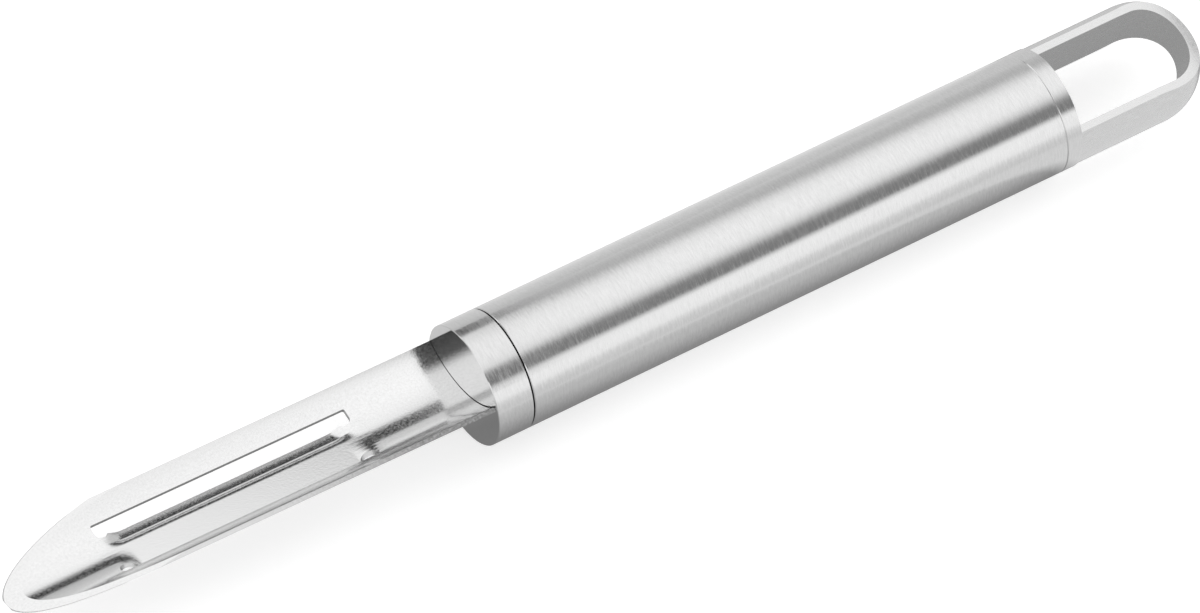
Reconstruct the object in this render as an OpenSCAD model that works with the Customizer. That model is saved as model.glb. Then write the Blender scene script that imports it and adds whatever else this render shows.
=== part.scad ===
// Straight vegetable peeler with a swivelling head. Its blade and collar turn together
// on a spindle inside a round steel handle that ends in a welded hanging loop.
// X runs along the handle, from the blade's tip to the loop, and the loop lies flat in XY.

/* [Handle] */
// Outside diameter of the tube, the collar and the cap
handle_d = 19; // [17:0.5:24]
// Length of the tube between its two seams
tube_len = 93; // [70:1:130]
// Wall thickness of the tube
tube_wall = 1; // [0.8:0.1:1.3]
// Bevel on the edges that meet at a seam
seam_bevel = 0.12; // [0.05:0.01:0.3]

/* [End cap] */
// Thickness of the part of the cap that shows behind the tube
cap_len = 2.6; // [1.5:0.1:5]
// Depth of the cap's spigot inside the tube
spigot_len = 8; // [4:0.5:15]
// Wall thickness of the spigot
spigot_wall = 1.5; // [1:0.1:2.5]

/* [Hanging loop] */
// Distance from the cap to the centre of the loop's round end
leg_len = 16.4; // [10:0.2:30]
// Thickness of the loop's strip across its legs
leg_t = 3.1; // [2.6:0.1:4]
// How far the eye's round end lies beyond the centre of the loop's round end
eye_shift = 0.9; // [0:0.1:1.5]
// Height of the loop's strip at its legs
strip_h = 11.4; // [8:0.2:12.4]
// Height of the loop's strip at the very end
strip_end_h = 4.4; // [4:0.2:8]
// Length over which the strip's height rounds down to its end
taper_len = 11.5; // [8:0.5:14]
// How far the loop's outside lies within the cap's edge
loop_inset = 0.15; // [0.05:0.05:0.4]

/* [Collar] */
// Length of the collar that holds the blade
collar_len = 6; // [5:0.5:10]
// Open seam between the turning collar and the tube
seam_gap = 0.2; // [0.15:0.05:0.5]
// Bevel round the collar's front face
collar_bevel = 0.1; // [0.05:0.05:0.6]
// Depth of the slot that takes the blade's tang
tang_len = 3; // [2:0.25:3.5]
// Gap between the tang and its slot
tang_gap = 0.05; // [0.02:0.01:0.1]
// Width of the open joint line inside the blade
joint_w = 0.14; // [0.08:0.02:0.3]
// Depth of the open joint line
joint_depth = 0.6; // [0.3:0.1:1]
// Angle by which the joint line runs past the blade's near edge
joint_past_angle = 2; // [1:0.5:4]

/* [Blade section] */
// Length of the blade in front of the collar
blade_len = 76.4; // [60:0.2:90]
// Thickness of the blade's sheet
sheet_t = 0.7; // [0.6:0.05:0.9]
// Radius of the blade's hollow side
hollow_r = 13.1; // [12.6:0.1:13.6]
// Height of the hollow's centre line above the handle's axis
hollow_lift = 11.95; // [11.5:0.05:12.3]
// Angle of the blade's near rim from the middle of the section
near_rim_angle = 40; // [36:0.5:42]
// Angle of the blade's far rim from the middle of the section
far_rim_angle = 43; // [40:0.5:44]
// Half of the angle that the tang covers
tang_angle = 36; // [32:0.5:37]
// Upward pitch of the blade from the handle's axis
blade_pitch = 0.8; // [0:0.1:1.2]

/* [Ground tip] */
// Angle of the ground face to the blade's length, at the very tip
grind_angle = 13.3; // [11:0.1:16]
// Radius to which the ground face is rounded along its length
grind_r = 172; // [150:1:200]
// Sideways tilt of the ground face towards the near side
grind_tilt_angle = 1.7; // [0:0.1:3]

/* [Peel slot] */
// Distance from the collar's face to the rear end of the slot
slot_rear = 16.8; // [12:0.2:22]
// Distance from the blade's tip to the front end of the slot
slot_tip_gap = 17; // [15:0.2:24]
// Angle of the slot's far edge from the middle of the section
slot_far_angle = 26.4; // [25:0.1:30]
// Angle of the near side of the pocket at each end of the slot
pocket_angle = 16.2; // [15:0.1:18]
// Length of the pocket along its near side
pocket_len = 1.4; // [1:0.1:3]
// Radius of the slot's far corners
far_corner_r = 0.3; // [0.1:0.05:0.6]
// Radius of the pocket's near corners
near_corner_r = 0.8; // [0.4:0.05:1]

/* [Cutting strip] */
// Angle of the narrow slit behind the cutting strip
slit_angle = 22; // [19:0.5:25]
// Width of the narrow slit
slit_w = 0.2; // [0.1:0.05:0.4]
// Tilt of the strip's flat stretch, down towards the slit
strip_angle = 3; // [0:0.5:5]
// Distance from the middle of the section to the bend beside the bevel
bend_y = 0.8; // [0.4:0.1:1.4]
// Radius of that bend
bend_r = 3.4; // [2.5:0.1:5]
// Angle through which the strip bends down before its bevel
bend_angle = 24; // [18:0.5:30]
// Width of the ground bevel inside the cutting edge
bevel_w = 1.9; // [1.4:0.1:2.4]
// Angle at which the bevel falls towards the cutting edge
bevel_angle = 5; // [2:0.5:10]
// Width of the land that grinding leaves at the cutting edge and at the tip
edge_land = 0.05; // [0.02:0.01:0.15]
// Length of the ramp at each end of the cutting strip
ramp_len = 4.2; // [3:0.2:6]
// How far each ramp starts beyond the end of the slot, on the slit's side
ramp_past = 1.2; // [0.8:0.1:1.8]
// Length by which the strip reaches into the plain sheet before its ramp
seat_len = 1.8; // [1.6:0.1:2.4]
// Depth of the strip's ends below the surface of the plain sheet
seat_depth = 0.012; // [0.01:0.002:0.04]
// Radius of the round reliefs at the ends of the slit
relief_r = 1.5; // [1.2:0.05:1.9]
// Distance from the slit to the centre of each relief
relief_rise = 0.9; // [0.5:0.05:1.1]
// Distance from the collar's face to the centre of the rear relief
relief_rear = 18.6; // [18:0.2:24]
// Distance from the blade's tip to the centre of the front relief
relief_tip_gap = 17.8; // [17.4:0.2:22]

/* [Swivel] */
// Roll of the head away from the loop's plane in the resting pose
rest_roll = 28.5; // [0:0.5:32]
// Swing of the head to each side of the aligned pose
swing = 35; // [30:1:45]
// Running clearance round the spindle
running_gap = 0.05; // [0.02:0.01:0.09]
// Thickness of the spindle's flange
flange_t = 1.6; // [1:0.1:1.8]
// Wall thickness of the bushes
bush_wall = 1.45; // [1:0.05:1.8]
// Length of each bush
bush_len = 6; // [4:0.5:9]
// Length of the bearing housing
housing_len = 25; // [20:0.5:35]
// Thickness of the thrust washers
washer_t = 0.6; // [0.4:0.1:1]
// Distance by which the thrust washers stand out past the bushes
washer_lap = 0.5; // [0.3:0.1:0.8]
// Gap between the front thrust washer and the stop pin
washer_gap = 0.5; // [0.3:0.1:0.8]
// End play at each face of a thrust washer
end_play = 0.05; // [0.02:0.01:0.1]
// Diameter of the stop pin
pin_d = 2; // [1.5:0.1:2]
// Distance of the stop pin's middle from the tube's bore
pin_inset = 2; // [1.8:0.05:2.1]
// Depth of the stop pin in the collar
pin_seat = 1.8; // [1:0.1:2.4]
// Length of the stop pin in its groove
pin_reach = 1.8; // [1:0.1:2.4]
// Gap round the stop pin in its groove
pin_gap = 0.15; // [0.1:0.05:0.25]
// Thickness of the retaining clip
clip_t = 0.7; // [0.5:0.1:1]
// Outside diameter of the retaining clip
clip_d = 11; // [10:0.25:13]

/* [Hidden] */
$fn = 96;

// Overrun of a cutting shape past the surface that it cuts
over = sheet_t;

handle_r = handle_d / 2;
tube_bore_r = handle_r - tube_wall;
tube_front = collar_len + seam_gap;
tube_rear = tube_front + tube_len;
cap_rear = tube_rear + cap_len;
bend_x = cap_rear + leg_len;
loop_r = handle_r - loop_inset;
eye_r = loop_r - leg_t;
eye_x = bend_x + eye_shift;
loop_end = bend_x + loop_r;

// The middle of the whole length stands over the origin, and the tube lies on the ground
middle_x = (loop_end - blade_len * cos(blade_pitch)) / 2;

sheet_outer_r = hollow_r + sheet_t;
sheet_bottom = hollow_lift - sheet_outer_r;
slot_front = -blade_len + slot_tip_gap;
slot_angle = (slot_far_angle + pocket_angle) / 2;
slot_half_w = hollow_r * sin((slot_far_angle - pocket_angle) / 2);
seat_angle = pocket_angle * 0.9;
ramp_front = slot_front - ramp_past;
ramp_rear = -slot_rear + ramp_past;
relief_front = -blade_len + relief_tip_gap;

// The stop pin and the bearings, from the tube's bore inwards
pin_ring_r = tube_bore_r - pin_inset;
stop_angle = asin(pin_gap / pin_ring_r);
washer_d = 2 * (pin_ring_r - washer_gap) - pin_d;
bush_d = washer_d - 2 * washer_lap;
spindle_d = bush_d - 2 * (bush_wall + running_gap);

// Stations along the spindle, from the collar's back to the spindle's end
front_washer_x = collar_len + end_play;
housing_x = front_washer_x + washer_t + end_play;
housing_end = housing_x + housing_len;
rear_washer_x = housing_end + end_play;
clip_x = rear_washer_x + washer_t + end_play;
clip_end = clip_x + clip_t;
spindle_end = clip_end + clip_t * 2;
clip_seat_r = spindle_d * 0.4;

// A round bar along X from x0 to x1
module bar_x(x0, x1, r) {
    translate([x0, 0, 0])
        rotate([0, 90, 0])
            cylinder(h = x1 - x0, r = r);
}

// A round shape turned about X from points that give radius and place along X
module turned_x(points) {
    rotate([0, 90, 0])
        rotate_extrude()
            polygon(points);
}

// Everything that belongs to the handle, moved so that the tube lies on the ground
module in_place() {
    translate([-middle_x, 0, handle_r])
        children();
}

// Everything that belongs to the head, rolled into its resting pose
module on_head() {
    in_place()
        rotate([-rest_roll, 0, 0])
            children();
}

// A sector turned about the centre line of the blade's hollow, between two angles
// that count from the middle of the section towards the far side
module hollow_sector(angle_from, angle_to, points) {
    rotate([0, blade_pitch, 0])
        translate([0, 0, hollow_lift])
            rotate([0, 90, 0])
                rotate([0, 0, angle_from])
                    rotate_extrude(angle = angle_to - angle_from)
                        polygon(points);
}

// The same sector with plain radii, from x0 to x1
module plain_sector(angle_from, angle_to, r0, r1, x0, x1) {
    hollow_sector(angle_from, angle_to, [[r0, x0], [r1, x0], [r1, x1], [r0, x1]]);
}

// A flat shape cut square through the blade's sheet at an angle of its section,
// with X along the blade and Y towards the far side
module sheet_cut(angle, points) {
    rotate([0, blade_pitch, 0])
        translate([0, 0, hollow_lift])
            rotate([angle, 0, 0])
                translate([0, 0, -sheet_outer_r - 3 * over])
                    linear_extrude(height = sheet_t + 5 * over)
                        polygon(points);
}

// Points on an arc, from one angle to another
function arc_points(x, y, r, from, to, steps) = [
    for (i = [0:steps])
        let (a = from + (to - from) * i / steps)
            [x + r * cos(a), y + r * sin(a)]
];

// Height of the plain sheet at a distance from the middle, for a radius of its section
function sheet_z(y, r) = hollow_lift - sqrt(r ^ 2 - y ^ 2);

// Points from one to another, in equal steps
function line_points(p, q, steps) = [for (i = [0:steps]) p + (q - p) * i / steps];

// The cutting strip's inside, from the slit to the cutting edge: a flat stretch, the bend
// and the ground bevel
function strip_inside() =
    let (
        slit_y = -hollow_r * sin(slit_angle) + slit_w,
        start = [bend_y, sheet_z(bend_y, hollow_r)],
        centre = start - bend_r * [-sin(strip_angle), cos(strip_angle)],
        slit_point = [slit_y, start.y + (slit_y - start.x) * tan(strip_angle)],
        bend = arc_points(centre.x, centre.y, bend_r, 90 + strip_angle, 90 - bend_angle, 10),
        fall = bevel_w * [cos(bevel_angle), -sin(bevel_angle)]
    )
    concat(
        line_points(slit_point, start, 8),
        [for (i = [1:10]) bend[i]],
        [for (i = [1:5]) bend[10] + fall * i / 5]
    );

// The strip's section, part of the way from the plain sheet to its pressed shape: the
// inside from the slit to the edge, and as many points of the outside on the way back
function strip_section(pressed) =
    let (
        inside = strip_inside(),
        edge = inside[len(inside) - 1],
        under_bend = [bend_y, sheet_z(bend_y, sheet_outer_r)],
        under_slit = inside[0] - [0, sheet_t],
        outside = concat(line_points(edge - [0, edge_land], under_bend, 15),
            [for (i = [1:8]) under_bend + (under_slit - under_bend) * i / 8])
    )
    concat(
        [for (p = inside) [p.x, (1 - pressed) * sheet_z(p.x, hollow_r + seat_depth) + pressed * p.y]],
        [for (p = outside) [p.x, (1 - pressed) * sheet_z(p.x, sheet_outer_r - seat_depth) + pressed * p.y]]
    );

// The cutting strip, seated in the plain sheet at both ends, with a smooth ramp to its
// pressed shape that starts at the end of the slot on the cutting edge's side
module cutting_strip() {
    steps = 16;
    ramp = [for (i = [0:steps]) [i / steps * ramp_len, (1 - cos(180 * i / steps)) / 2]];
    stations = concat(
        [[ramp_front - seat_len, 0, ramp_past]],
        [for (p = ramp) [ramp_front + p.x, p.y, ramp_past]],
        [for (i = [steps:-1:0]) [ramp_rear - ramp[i].x, ramp[i].y, -ramp_past]],
        [[ramp_rear + seat_len, 0, -ramp_past]]
    );
    n = len(strip_section(0));
    slit_y = strip_section(0)[0].x;
    strip_w = strip_section(0)[n / 2].x - slit_y;
    last = (len(stations) - 1) * n;
    rotate([0, blade_pitch, 0])
        polyhedron(
            points = [
                for (s = stations) for (p = strip_section(s.y))
                    [s.x + s.z * (p.x - slit_y) / strip_w, p.x, p.y]
            ],
            faces = concat(
                [for (i = [0:n / 2 - 2]) each [[i, n - 1 - i, i + 1], [i + 1, n - 1 - i, n - 2 - i]]],
                [for (i = [0:n / 2 - 2]) each [
                    [last + i, last + i + 1, last + n - 1 - i],
                    [last + i + 1, last + n - 2 - i, last + n - 1 - i]
                ]],
                [for (s = [0:n:last - n]) for (i = [0:n - 1]) each [
                    [s + i, s + (i + 1) % n, s + n + i],
                    [s + (i + 1) % n, s + n + (i + 1) % n, s + n + i]
                ]]
            )
        );
}

// The sheet with its cutting strip pressed out, before the slot and the tip are cut
module pressed_sheet() {
    cut_in = hollow_r - over;
    cut_out = sheet_outer_r + over;
    difference() {
        plain_sector(-near_rim_angle, far_rim_angle, hollow_r, sheet_outer_r, -blade_len, tang_len);
        plain_sector(-slit_angle * 0.85, seat_angle, cut_in, cut_out, ramp_front, ramp_rear);
        plain_sector(-slit_angle, 0, cut_in, cut_out, relief_front, -relief_rear);
        plain_sector(0, slot_angle, cut_in, cut_out, slot_front + far_corner_r,
            -slot_rear - far_corner_r);
    }
    cutting_strip();
}

// The slot that the peel leaves through, from its far edge to the middle, with a pocket at
// each end that reaches past the cutting edge
module peel_slot() {
    x0 = slot_front;
    x1 = -slot_rear;
    h = slot_half_w;
    sheet_cut(slot_angle, concat(
        arc_points(x1 - far_corner_r, h - far_corner_r, far_corner_r, 90, 0, 6),
        arc_points(x1 - near_corner_r, near_corner_r - h, near_corner_r, 0, -90, 10),
        [[x1 - pocket_len, -h], [x1 - pocket_len - h / 2, -h / 2]],
        [[x0 + pocket_len + h / 2, -h / 2], [x0 + pocket_len, -h]],
        arc_points(x0 + near_corner_r, near_corner_r - h, near_corner_r, -90, -180, 10),
        arc_points(x0 + far_corner_r, h - far_corner_r, far_corner_r, 180, 90, 6)
    ));
}

// The round reliefs at the ends of the slit, cut off along the slit's near side
module relief_holes() {
    turn = asin(relief_rise / relief_r);
    for (x = [relief_front, -relief_rear])
        sheet_cut(-slit_angle, arc_points(x, relief_rise, relief_r, -turn, 180 + turn, 24));
}

// The ground face: everything above a large cylinder that starts at the tip, a land's
// width above the sheet's outside
module tip_grind() {
    rise = [grind_r * sin(grind_angle), grind_r * cos(grind_angle)];
    rotate([0, blade_pitch, 0])
        translate([-blade_len, 0, sheet_bottom + edge_land])
            rotate([grind_tilt_angle, 0, 0])
                difference() {
                    translate([-over, -handle_d, -over])
                        cube([rise.x, 2 * handle_d, handle_r]);
                    translate([rise.x, 2 * handle_d, -rise.y])
                        rotate([90, 0, 0])
                            cylinder(h = 4 * handle_d, r = grind_r, $fn = 720);
                }
}

// The corners that are cut off beside the tang, so that the blade sits on the collar
module tang_shoulders() {
    cut_in = hollow_r - over;
    cut_out = sheet_outer_r + over;
    plain_sector(tang_angle, far_rim_angle + 1, cut_in, cut_out, -tang_gap, tang_len + over);
    plain_sector(-near_rim_angle - 1, -tang_angle, cut_in, cut_out, -tang_gap, tang_len + over);
}

module blade() {
    color("gainsboro")
        on_head()
            difference() {
                pressed_sheet();
                tip_grind();
                peel_slot();
                relief_holes();
                tang_shoulders();
            }
}

module blade_collar() {
    slot_past = asin(tang_gap / hollow_r) + tang_angle;
    color("silver")
        on_head()
            difference() {
                turned_x([
                    [0, 0], [handle_r - collar_bevel, 0], [handle_r, collar_bevel],
                    [handle_r, collar_len - seam_bevel], [handle_r - seam_bevel, collar_len],
                    [0, collar_len]
                ]);
                plain_sector(-slot_past, slot_past, hollow_r - tang_gap, sheet_outer_r + tang_gap,
                    -over, tang_len + tang_gap);
                plain_sector(-near_rim_angle - joint_past_angle, far_rim_angle,
                    hollow_r - joint_w, hollow_r + joint_w, -over, joint_depth);
                bar_x(collar_len - flange_t, collar_len + over, bush_d / 2);
                translate([0, 0, -pin_ring_r])
                    bar_x(collar_len - pin_seat, collar_len + over, pin_d / 2);
            }
}

module spindle() {
    shaft_r = spindle_d / 2;
    bevel = shaft_r - clip_seat_r;
    color("lightslategray")
        on_head()
            turned_x([
                [0, collar_len - flange_t], [bush_d / 2, collar_len - flange_t],
                [bush_d / 2, collar_len], [shaft_r, collar_len], [shaft_r, clip_x],
                [clip_seat_r, clip_x], [clip_seat_r, clip_end], [shaft_r, clip_end],
                [shaft_r, spindle_end - bevel], [clip_seat_r, spindle_end], [0, spindle_end]
            ]);
}

module stop_pin() {
    color("dimgray")
        on_head()
            translate([0, 0, -pin_ring_r])
                bar_x(collar_len - pin_seat, housing_x + pin_reach, pin_d / 2);
}

// A flat ring that runs round the spindle
module thrust_washer(x) {
    on_head()
        difference() {
            bar_x(x, x + washer_t, washer_d / 2);
            bar_x(x - over, x + washer_t + over, spindle_d / 2 + running_gap);
        }
}

module front_thrust_washer() {
    color("white")
        thrust_washer(front_washer_x);
}

module rear_thrust_washer() {
    color("white")
        thrust_washer(rear_washer_x);
}

// A clip with three lugs that snaps sideways into the spindle's groove
module retaining_clip() {
    lug_w = clip_seat_r;
    ring_in = (clip_seat_r + clip_d / 2) / 2;
    color("gray")
        on_head()
            translate([clip_x, 0, 0])
                rotate([0, 90, 0])
                    linear_extrude(height = clip_t)
                        difference() {
                            union() {
                                difference() {
                                    circle(d = clip_d);
                                    circle(r = ring_in);
                                }
                                for (turn = [0, 1, 2])
                                    rotate(90 * turn)
                                        translate([clip_seat_r / 2, -lug_w / 2])
                                            square([ring_in - clip_seat_r / 3, lug_w]);
                            }
                            circle(r = clip_seat_r);
                            translate([-clip_seat_r, -clip_d])
                                square([2 * clip_seat_r, clip_d]);
                        }
}

// The groove that stops the pin at each end of the swing
module stop_groove() {
    half = swing + stop_angle;
    in_r = pin_ring_r - pin_d / 2 - pin_gap;
    out_r = pin_ring_r + pin_d / 2 + pin_gap;
    depth = pin_reach + pin_gap;
    translate([housing_x, 0, 0])
        rotate([0, 90, 0])
            rotate([0, 0, -half])
                rotate_extrude(angle = 2 * half)
                    polygon([[in_r, -over], [out_r, -over], [out_r, depth], [in_r, depth]]);
    for (side = [-1, 1])
        rotate([side * half, 0, 0])
            translate([0, 0, -pin_ring_r])
                bar_x(housing_x - over, housing_x + depth, pin_d / 2 + pin_gap);
}

module bearing_housing() {
    color("darkgray")
        in_place()
            difference() {
                bar_x(housing_x, housing_end, tube_bore_r);
                bar_x(housing_x - over, housing_x + bush_len, bush_d / 2);
                bar_x(housing_end - bush_len, housing_end + over, bush_d / 2);
                bar_x(housing_x, housing_end, (spindle_d + bush_d) / 4);
                stop_groove();
            }
}

// A plain bush pressed into the housing
module bush(x) {
    in_place()
        difference() {
            bar_x(x, x + bush_len, bush_d / 2);
            bar_x(x - over, x + bush_len + over, spindle_d / 2 + running_gap);
        }
}

module front_bush() {
    color("ivory")
        bush(housing_x);
}

module rear_bush() {
    color("ivory")
        bush(housing_end - bush_len);
}

module handle_tube() {
    color("lightgray")
        in_place()
            turned_x([
                [tube_bore_r, tube_front], [handle_r - seam_bevel, tube_front],
                [handle_r, tube_front + seam_bevel], [handle_r, tube_rear - seam_bevel],
                [handle_r - seam_bevel, tube_rear], [tube_bore_r, tube_rear]
            ]);
}

module end_cap() {
    color("silver")
        in_place()
            turned_x([
                [0, tube_rear], [tube_bore_r - spigot_wall, tube_rear],
                [tube_bore_r - spigot_wall, tube_rear - spigot_len],
                [tube_bore_r - seam_bevel, tube_rear - spigot_len],
                [tube_bore_r, tube_rear - spigot_len + seam_bevel], [tube_bore_r, tube_rear],
                [handle_r - seam_bevel, tube_rear], [handle_r, tube_rear + seam_bevel],
                [handle_r, cap_rear], [0, cap_rear]
            ]);
}

// The side view of the loop's strip, which keeps its height along the legs and rounds
// down towards the end
module strip_profile() {
    drop = (strip_h - strip_end_h) / 2;
    round_r = (taper_len ^ 2 + drop ^ 2) / (2 * drop);
    past_angle = asin((taper_len + over) / round_r);
    upper = arc_points(loop_end - taper_len, strip_h / 2 - round_r, round_r, 90, 90 - past_angle, 20);
    translate([0, handle_r, 0])
        rotate([90, 0, 0])
            linear_extrude(height = handle_d)
                polygon(concat(
                    [[cap_rear, -strip_h / 2], [cap_rear, strip_h / 2]],
                    upper,
                    [for (i = [len(upper) - 1:-1:0]) [upper[i].x, -upper[i].y]]
                ));
}

module hanging_loop() {
    color("gainsboro")
        in_place()
            difference() {
                intersection() {
                    union() {
                        bar_x(cap_rear, bend_x, loop_r);
                        translate([bend_x, 0, 0])
                            sphere(r = loop_r);
                    }
                    strip_profile();
                }
                translate([cap_rear - over, -eye_r, -handle_r])
                    cube([eye_x - cap_rear + over, 2 * eye_r, handle_d]);
                translate([eye_x, 0, -handle_r])
                    cylinder(h = handle_d, r = eye_r);
            }
}

blade();
blade_collar();
spindle();
stop_pin();
front_thrust_washer();
rear_thrust_washer();
retaining_clip();
bearing_housing();
front_bush();
rear_bush();
handle_tube();
end_cap();
hanging_loop();
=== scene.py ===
"""A straight steel vegetable peeler, built up in the order in which it is put together."""

import math

import bpy
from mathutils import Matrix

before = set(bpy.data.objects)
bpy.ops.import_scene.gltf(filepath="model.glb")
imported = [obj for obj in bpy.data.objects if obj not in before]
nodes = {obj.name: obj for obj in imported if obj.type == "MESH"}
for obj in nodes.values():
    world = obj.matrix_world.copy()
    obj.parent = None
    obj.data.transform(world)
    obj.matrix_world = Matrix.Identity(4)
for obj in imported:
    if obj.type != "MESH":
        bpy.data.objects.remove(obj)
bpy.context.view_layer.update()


# The blade is one piece of stainless sheet, pressed into a shallow trough with its cutting
# strip pushed outwards. Its hollow side is satin, its tip is ground flat, and its tang is
# fixed in a slot of the collar's front face.
class Shade:
    """A node tree, or one value in it. Maths on a value adds Math nodes."""

    def __init__(self, tree, socket=None):
        self.tree = tree
        self.socket = socket

    def node(self, kind, settings=None, inputs=None, output=0):
        """Adds a node: its settings first, then the values or links of its sockets."""
        made = self.tree.nodes.new(kind)
        for name, value in (settings or {}).items():
            if name == "stops":
                ramp = made.color_ramp.elements
                while len(ramp) < len(value):
                    ramp.new(0.5)
                for element, (place, grey) in zip(ramp, value):
                    element.position = place
                    element.color = (grey, grey, grey, 1)
            else:
                setattr(made, name, value)
        for name, value in (inputs or {}).items():
            if isinstance(value, Shade):
                self.tree.links.new(value.socket, made.inputs[name])
            else:
                made.inputs[name].default_value = value
        return Shade(self.tree, made.outputs[output] if len(made.outputs) else None)

    def maths(self, operation, *values):
        """Adds a Math node on one or two values."""
        return self.node("ShaderNodeMath", {"operation": operation}, dict(enumerate(values)))

    def axes(self):
        """The X, Y and Z of this place or direction."""
        split = self.node("ShaderNodeSeparateXYZ", {}, {0: self}).socket.node
        return [Shade(self.tree, split.outputs[axis]) for axis in "XYZ"]

    def __add__(self, other):
        return self.maths("ADD", self, other)

    def __sub__(self, other):
        return self.maths("SUBTRACT", self, other)

    def __rsub__(self, other):
        return self.maths("SUBTRACT", other, self)

    def __mul__(self, other):
        return self.maths("MULTIPLY", self, other)

    def __truediv__(self, other):
        return self.maths("DIVIDE", self, other)

    def __lt__(self, other):
        return self.maths("LESS_THAN", self, other)

    def __gt__(self, other):
        return self.maths("GREATER_THAN", self, other)

    def __abs__(self):
        return self.maths("ABSOLUTE", self)

    __radd__ = __add__
    __rmul__ = __mul__


def new_finish(name):
    """An empty material and the node tree that it is made in."""
    finish = bpy.data.materials.new(name)
    finish.use_nodes = True
    finish.node_tree.nodes.clear()
    return finish, Shade(finish.node_tree)


def give(finish, *names):
    """Puts a finish on CAD nodes."""
    for name in names:
        nodes[name].data.materials.clear()
        nodes[name].data.materials.append(finish)


def noise_in(shade, sizes, detail):
    """Noise whose grains have these sizes in metres along X, Y and Z."""
    place = shade.node("ShaderNodeTexCoord", output="Object")
    stretched = shade.node(
        "ShaderNodeVectorMath", {"operation": "MULTIPLY"},
        {0: place, 1: tuple(1 / size for size in sizes)})
    return shade.node(
        "ShaderNodeTexNoise", {}, {"Vector": stretched, "Scale": 1.0, "Detail": detail})


def marked_steel(shade, colour, roughness, sizes, relief, rough_edges_with_painted_shade=None, polished=None):
    """The surface of stainless steel with fine marks of these sizes. Marks change how light
    and how rough it is, and cut a relief in metres. Cut edges are rougher, and painted shade
    darkens their colour; a polished part has hardly any marks."""
    finer = 2.5
    middle_of_marks = 1.5
    tone_of_grain, roughness_of_grain = 0.1, 0.8
    painted_edge_shade, edge_roughness = 0.45, 0.15
    polished_roughness, tone_polished_off, relief_polished_off = 0.07, 0.8, 0.9
    marks = noise_in(shade, sizes, detail=2.0)
    fine = noise_in(shade, tuple(size / finer for size in sizes), detail=1.0)
    grain = marks * 2 + fine - middle_of_marks
    tone = grain * tone_of_grain + 1
    rough = grain * roughness * roughness_of_grain + roughness
    height = marks
    if rough_edges_with_painted_shade is not None:
        # Painted shade: the cut edges' colour is darkened by this much.
        tone = tone * (1 - rough_edges_with_painted_shade * painted_edge_shade)
        rough = rough + rough_edges_with_painted_shade * edge_roughness
    if polished is not None:
        tone = 1 + (tone - 1) * (1 - polished * tone_polished_off)
        rough = rough * (1 - polished) + polished * polished_roughness
        height = marks * (1 - polished * relief_polished_off)
    base = shade.node("ShaderNodeVectorMath", {"operation": "SCALE"}, {0: colour, "Scale": tone})
    bump = shade.node(
        "ShaderNodeBump", {}, {"Strength": 1.0, "Distance": relief, "Height": height})
    return shade.node(
        "ShaderNodeBsdfPrincipled", {},
        {"Base Color": base, "Metallic": 1.0, "Normal": bump, "Roughness": rough})


def painted_shade_on_edges(shade):
    """Above 0 where the blade's edges carry painted shade and are rougher: on the edges that the
    press cut through the blade's middle and, stronger, along the outer edge of the ground tip,
    and 0 elsewhere."""
    handle_axis_z = 0.0095
    collar_face_x = -0.02558
    head_roll = math.radians(28.5)
    blade_pitch = math.radians(0.8)
    hollow_height = 0.01195
    slot_reach = 0.0068
    tip_start_x = -0.087
    ground_edge_radius = 0.01375
    wall_facing, upward_facing = 0.5, -0.3
    painted_wall_shade = 0.6

    def unrolled(y, z):
        """A place or direction across the handle, turned back by the head's roll."""
        return (y * math.cos(head_roll) - z * math.sin(head_roll),
                y * math.sin(head_roll) + z * math.cos(head_roll))

    along, across, height = shade.node("ShaderNodeTexCoord", output="Object").axes()
    _, facing_y, facing_z = shade.node("ShaderNodeTexCoord", output="Normal").axes()
    side, rise = unrolled(across, height - handle_axis_z)
    rise = rise - hollow_height - (collar_face_x - along) * math.tan(blade_pitch)
    facing_side, facing_rise = unrolled(facing_y, facing_z)
    from_centre = shade.maths("SQRT", side * side + rise * rise)
    outwards = (facing_side * side + facing_rise * rise) / from_centre
    pierced_wall = (abs(outwards) < wall_facing) * (abs(side) < slot_reach)
    ground_edge = (outwards < upward_facing) * (from_centre > ground_edge_radius)
    return pierced_wall * painted_wall_shade + ground_edge * (along < tip_start_x)


def finished_steel(name, grey, roughness, sizes, relief, mask_name=None, mask_of=None):
    """A material of marked steel, with one mask for its cut edges, which are rougher and carry
    painted shade, or for its polished part.
    """
    finish, shade = new_finish(name)
    masks = {mask_name: mask_of(shade)} if mask_of else {}
    surface = marked_steel(shade, (grey, grey, grey), roughness, sizes, relief, **masks)
    shade.node("ShaderNodeOutputMaterial", {}, {"Surface": surface})
    return finish


sheet_grey = 0.88
sheet_roughness = 0.15
sheet_grain = (0.00035, 0.00035, 0.00035)
sheet_relief = 0.000006
# The blade's cut walls and the outer edge of its ground tip get painted shade in their colour.
satin_blade = finished_steel(
    "satin_blade", sheet_grey, sheet_roughness, sheet_grain, sheet_relief,
    "rough_edges_with_painted_shade", painted_shade_on_edges)
give(satin_blade, "blade")


# The collar is turned from steel bar. Its front face is polished, with only faint turning
# marks, and its rim is brushed round together with the tube, in the same grade of grit.
brushed_grey = 0.76
brushed_roughness = 0.15
brush_marks = (0.00024, 0.0015, 0.0015)
brush_relief = 0.000003


def polished_face(shade):
    """1 on the collar's front face, and 0 elsewhere."""
    face_depth = 0.00005
    face_x = min(corner.co.x for corner in nodes["blade_collar"].data.vertices)
    along = shade.node("ShaderNodeTexCoord", output="Object").axes()[0]
    return along < face_x + face_depth


turned_collar = finished_steel(
    "turned_collar", brushed_grey, brushed_roughness, brush_marks, brush_relief,
    "polished", polished_face)
give(turned_collar, "blade_collar")

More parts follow.
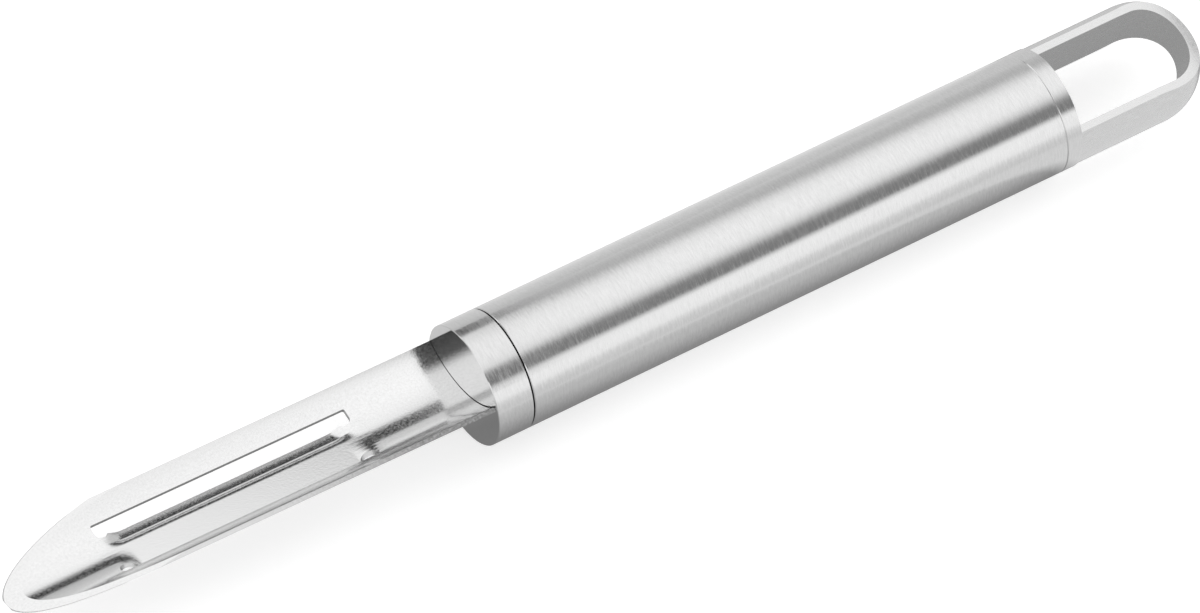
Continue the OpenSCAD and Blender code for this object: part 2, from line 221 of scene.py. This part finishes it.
# The turned spindle is fixed in the collar's back and carries the head, with the stop pin
# beside it. It runs in a steel housing that is pressed into the tube, and a clip that snaps
# into its groove holds it there.
inner_colour = (0.55, 0.55, 0.56)
inner_roughness = 0.3
turning_marks = (0.0002, 0.002, 0.002)
turning_relief = 0.000008
finish, shade = new_finish("turned_inner_steel")
surface = marked_steel(shade, inner_colour, inner_roughness, turning_marks, turning_relief)
shade.node("ShaderNodeOutputMaterial", {}, {"Surface": surface})
give(finish, "spindle", "stop_pin", "retaining_clip", "bearing_housing")

# The two bushes are pressed into the housing, and the two thrust washers run loose on the
# spindle. All four are moulded from natural, unfilled plastic, with a faint grain.
plastic_colour = (0.85, 0.84, 0.8, 1)
mould_grain = (0.0006, 0.0006, 0.0006)
mould_relief = 0.00001
least_roughness, roughness_of_mould_grain = 0.4, 0.15
finish, shade = new_finish("natural_plastic")
grain = noise_in(shade, mould_grain, detail=3.0)
bump = shade.node(
    "ShaderNodeBump", {}, {"Strength": 1.0, "Distance": mould_relief, "Height": grain})
surface = shade.node(
    "ShaderNodeBsdfPrincipled", {},
    {"Base Color": plastic_colour, "Normal": bump,
     "Roughness": grain * roughness_of_mould_grain + least_roughness})
shade.node("ShaderNodeOutputMaterial", {}, {"Surface": surface})
give(finish, "front_thrust_washer", "rear_thrust_washer", "front_bush", "rear_bush")

# The handle is a length of round stainless tube, brushed round its circumference. The cap is
# pushed into its rear end and brushed together with it.
brushed_tube = finished_steel(
    "brushed_tube", brushed_grey, brushed_roughness, brush_marks, brush_relief)
give(brushed_tube, "handle_tube", "end_cap")

# The hanging loop is a steel strip, bent round and welded to the cap. It is satin all over,
# with its grain along the strip.
strip_grey = 0.76
strip_roughness = 0.26
strip_grain = (0.0012, 0.0005, 0.0004)
strip_relief = 0.000006
satin_loop = finished_steel(
    "satin_loop", strip_grey, strip_roughness, strip_grain, strip_relief)
give(satin_loop, "hanging_loop")


# The floor is one plain pale sheet that shows the peeler's soft shadow. To glossy rays it glows
# instead with painted bands along the handle: painted shade where the peeler stands and under
# the blade, and other painted bands of light and shade below the hanging loop.
def graded(value, low, high, stops, brightest=1.0):
    """A grey that goes through these stops of place and level, as a value goes from low to
    high. It comes divided by the brightest level, which the strength of a light restores."""
    span = high - low
    return value.node(
        "ShaderNodeValToRGB",
        {"stops": [((place - low) / span, level / brightest) for place, level in stops]},
        {0: (value - low) / span})


def fade(value, start, end, level_at_start=0.0, level_at_end=1.0):
    """A level that changes steadily while a value goes from start to end."""
    return value.node(
        "ShaderNodeMapRange", {},
        {"Value": value, "From Min": start, "From Max": end,
         "To Min": level_at_start, "To Max": level_at_end})


def mixed(factor, first, second, blend="MIX"):
    """The first grey, blended with the second by a factor."""
    return factor.node(
        "ShaderNodeMix", {"data_type": "RGBA", "blend_type": blend},
        {"Factor": factor, "A": first, "B": second}, output="Result")


floor_size = 6.0
floor_grey = 0.9
glow_to_camera = 0.5
reflected_width = 0.12
# Painted light and shade that steel reflects from the floor below the handle, darkest where the
# peeler stands.
painted_reflection_below_handle = [
    (-0.12, 0.66), (-0.037, 0.59), (-0.023, 0.475), (-0.0165, 0.38), (-0.0124, 0.3),
    (-0.004, 0.26), (0.004, 0.4), (0.012, 0.84), (0.02, 0.84), (0.03, 0.76), (0.056, 0.7),
    (0.12, 0.64),
]
painted_reflection_below_loop = [(-0.12, 0.8), (-0.01, 0.8), (-0.007, 0.4), (0.012, 0.36), (0.02, 0.7)]
blade_start, blade_end, painted_shade_below_blade = -0.03, 0.0, 0.85
loop_start, loop_end = 0.076, 0.081
bpy.ops.mesh.primitive_plane_add(size=floor_size, location=(0, 0, 0))
floor = bpy.context.object
floor.name = "floor"
finish, shade = new_finish("pale_floor")
seen = shade.node("ShaderNodeLightPath", output="Is Camera Ray")
mirrored = shade.node("ShaderNodeLightPath", output="Is Glossy Ray")
paper = shade.node(
    "ShaderNodeBsdfDiffuse", {}, {"Color": (floor_grey, floor_grey, floor_grey, 1)})
glow = shade.node("ShaderNodeEmission", {}, {"Color": seen * glow_to_camera, "Strength": 1.0})
open_floor = shade.node("ShaderNodeAddShader", {}, {0: paper, 1: glow})
along, across, _ = shade.node("ShaderNodeTexCoord", output="Object").axes()
painted_handle_bands = graded(across, -reflected_width, reflected_width, painted_reflection_below_handle)
painted_handle_bands = shade.node(
    "ShaderNodeVectorMath", {"operation": "SCALE"},
    {0: painted_handle_bands, "Scale": fade(along, blade_start, blade_end, painted_shade_below_blade)})
painted_loop_bands = graded(across, -reflected_width, reflected_width, painted_reflection_below_loop)
bands = mixed(fade(along, loop_start, loop_end), painted_handle_bands, painted_loop_bands)
# A painted reflection: glossy rays see these painted bands instead of the lit floor.
painted_reflection_glow = shade.node("ShaderNodeEmission", {}, {"Color": bands, "Strength": 1.0})
both = shade.node("ShaderNodeMixShader", {}, {0: mirrored, 1: open_floor, 2: painted_reflection_glow})
shade.node("ShaderNodeOutputMaterial", {}, {"Surface": both})
floor.data.materials.append(finish)

# A curved light card arches over the peeler, round the handle's axis, from the far side. Only
# reflections show it, and its levels, by degrees of turn about the axis, give the blade, the
# collar and the front of the tube their light and dark bands.
light_strength = 1.2
degrees = 180 / math.pi
card_axis_z = 0.0095
card_distance = 0.3
card_ends = (-0.32, 0.092)
card_turn = 140
turn_step = 4
card_levels = [
    (0, 0.05), (3, 0.03), (13, 0.03), (16, 0.3), (20, 0.9), (24, 1.0), (60, 1.02), (103, 0.94),
    (140, 0.75),
]
straight_x, slant_per_metre = 0.04, 100
front_band = [(0, 1), (60, 1), (74, 0.1), (104, 0.05), (118, 0.5), (140, 1)]
front_band_full, front_band_gone = -0.08, -0.04
rear_band = [
    (0, 1), (96, 1), (104, 0.4), (110, 0.22), (124, 0.22), (130, 0.7), (136, 1), (140, 1),
]
rear_band_gone, rear_band_full = 0.05, 0.08
card_turns = [math.radians(turn) for turn in range(0, card_turn + 1, turn_step)]
card_mesh = bpy.data.meshes.new("light_card")
card_mesh.from_pydata(
    [(end, card_distance * math.cos(turn), card_axis_z + card_distance * math.sin(turn))
     for turn in card_turns for end in card_ends],
    [], [(2 * i, 2 * i + 1, 2 * i + 3, 2 * i + 2) for i in range(len(card_turns) - 1)])
card = bpy.data.objects.new("light_card", card_mesh)
bpy.context.scene.collection.objects.link(card)
card.visible_camera = False
card.visible_diffuse = False
card.visible_transmission = False
card.visible_shadow = False
finish, shade = new_finish("card_glow")
along, across, height = shade.node("ShaderNodeNewGeometry", output="Position").axes()
turn = shade.maths("ARCTAN2", height - card_axis_z, across) * degrees
slant = (straight_x - along) * slant_per_metre
level = graded(turn + slant, 0, card_turn, card_levels, light_strength)
in_front = fade(along, front_band_full, front_band_gone, 1.0, 0.0)
level = mixed(in_front, level, graded(turn, 0, card_turn, front_band), "MULTIPLY")
behind = fade(along, rear_band_gone, rear_band_full)
level = mixed(behind, level, graded(turn, 0, card_turn, rear_band), "MULTIPLY")
glow = shade.node("ShaderNodeEmission", {}, {"Color": level, "Strength": light_strength})
shade.node("ShaderNodeOutputMaterial", {}, {"Surface": glow})
card_mesh.materials.append(finish)

# A light tent stands round everything. Its brightness depends only on the direction across
# the handle, by degrees of turn from the far side upwards, and the camera sees it white.
tent_levels = [
    (-5, 0.66), (5, 0.62), (13, 0.57), (21, 0.56), (29, 0.70), (37, 0.88), (45, 1.0),
    (61, 1.08), (77, 1.07), (85, 1.04), (93, 0.88), (99, 0.66), (105, 0.38), (110, 0.26),
    (125, 0.24), (129, 0.7), (134, 1.1), (143, 1.08), (157, 1.05), (165, 0.82), (173, 0.74),
    (185, 0.70),
]
tent_start, tent_end = -90, 270
white = 1 / light_strength
world = bpy.data.worlds.new("light_tent")
bpy.context.scene.world = world
world.use_nodes = True
world.node_tree.nodes.clear()
shade = Shade(world.node_tree)
_, across, height = shade.node("ShaderNodeTexCoord", output="Generated").axes()
turn = shade.maths("ARCTAN2", height, across) * degrees
level = graded(turn, tent_start, tent_end, tent_levels, light_strength)
seen = shade.node("ShaderNodeLightPath", output="Is Camera Ray")
level = mixed(seen, level, (white, white, white, 1))
tent = shade.node("ShaderNodeBackground", {}, {"Color": level, "Strength": light_strength})
shade.node("ShaderNodeOutputWorld", {}, {"Surface": tent})

# The camera looks down on the peeler from the near side of its blade, through a long lens.
# Its place, its turn and its lens were fitted to the outlines of the handle.
camera = bpy.data.objects.new("camera", bpy.data.cameras.new("camera"))
bpy.context.scene.collection.objects.link(camera)
camera.location = (-0.57624, -0.40549, 1.39387)
camera.rotation_euler = [math.radians(angle) for angle in (24.5837, -11.4890, -31.1610)]
camera.data.lens = 321.7
camera.data.sensor_width = 36.0
camera.data.clip_end = 20.0
bpy.context.scene.camera = camera
bpy.context.scene.view_settings.view_transform = "Standard"
